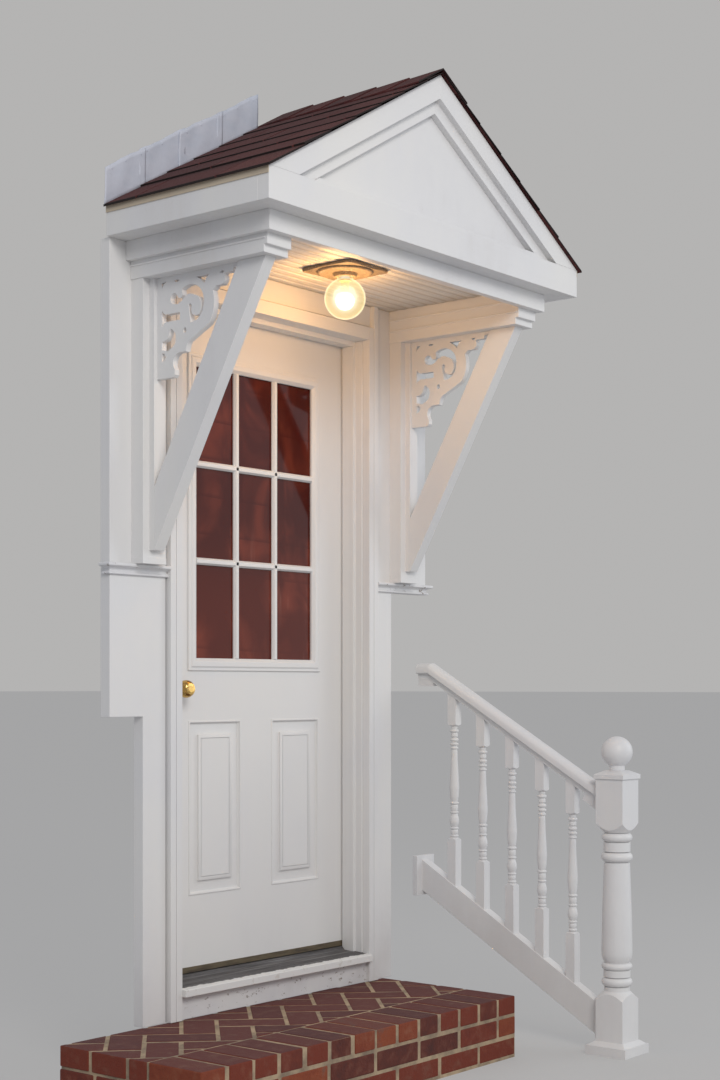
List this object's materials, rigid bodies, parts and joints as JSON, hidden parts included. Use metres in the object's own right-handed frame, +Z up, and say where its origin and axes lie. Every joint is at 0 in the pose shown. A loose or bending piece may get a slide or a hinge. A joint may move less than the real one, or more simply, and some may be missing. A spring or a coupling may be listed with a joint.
{
  "type": "entrance porch",
  "caption": "Gabled entrance hood on braced fretwork brackets over a glazed panelled door, with a brick stoop and a sloping turned-baluster stair rail.",
  "frame": {"origin": "on the ground under the middle of the door, in the plane of the door casings' faces", "axes": "+X right along the house wall, +Y into the wall, +Z up"},
  "size_m": [1.7695, 1.0455, 3.0438],
  "materials": {
    "white_paint": "white satin paint over boards",
    "door_paint": "white satin paint, smooth",
    "brick": "red brick with sandy mortar",
    "weathered_wood": "worn grey paint",
    "bare_wood": "bare softwood",
    "shingle": "granules, matt, maroon",
    "drip_metal": "tan coating",
    "painted_flashing": "white paint",
    "rusty_metal": "rusty, flaking",
    "globe_glass": "clear",
    "bulb_glass": "lit, warm white",
    "pane_glass": "clear",
    "brass": "polished"
  },
  "bodies": {
    "porch": {"brick_stoop": "brick", "door_riser": "white_paint", "door_sill": "weathered_wood", "left_jamb": "white_paint", "right_jamb": "white_paint", "head_jamb": "white_paint", "left_casing": "white_paint", "right_casing": "white_paint", "head_casing": "white_paint", "left_side_board": "white_paint", "right_side_board": "white_paint", "wall_ledger": "white_paint", "left_post": "white_paint", "right_post": "white_paint", "post_caps": "white_paint", "left_arm": "white_paint", "right_arm": "white_paint", "left_brace": "white_paint", "right_brace": "white_paint", "left_fretwork": "white_paint", "right_fretwork": "white_paint", "front_frieze": "white_paint", "side_friezes": "white_paint", "soffit": "white_paint", "ceiling": "white_paint", "front_fascia": "white_paint", "side_fascias": "white_paint", "tympanum": "white_paint", "left_rake": "white_paint", "right_rake": "white_paint", "left_roof_deck": "bare_wood", "right_roof_deck": "bare_wood", "left_shingles": "shingle", "right_shingles": "shingle", "ridge_cap": "shingle", "drip_edges": "drip_metal", "wall_flashing": "painted_flashing", "ridge_board": "bare_wood", "rafters": "bare_wood", "ceiling_battens": "bare_wood", "lamp_plate": "rusty_metal", "lamp_globe": "globe_glass", "lamp_bulb": "bulb_glass", "top_rail": "white_paint", "bottom_rail": "white_paint", "balusters": "white_paint", "newel_post": "white_paint", "newel_ball": "white_paint", "frame_hinges": "brass"},
    "door": {"door_leaf": "door_paint", "door_glass": "pane_glass", "lite_frames": "door_paint", "door_knobs": "brass", "door_hinges": "brass"}
  },
  "joints": [
    {"name": "door_hinge", "type": "hinge", "parent": "porch", "child": "door", "pos_m": [0.4345, 0.162, 0.3131], "axis": [0, 0, -1], "range_deg": [0, 105]}
  ]
}
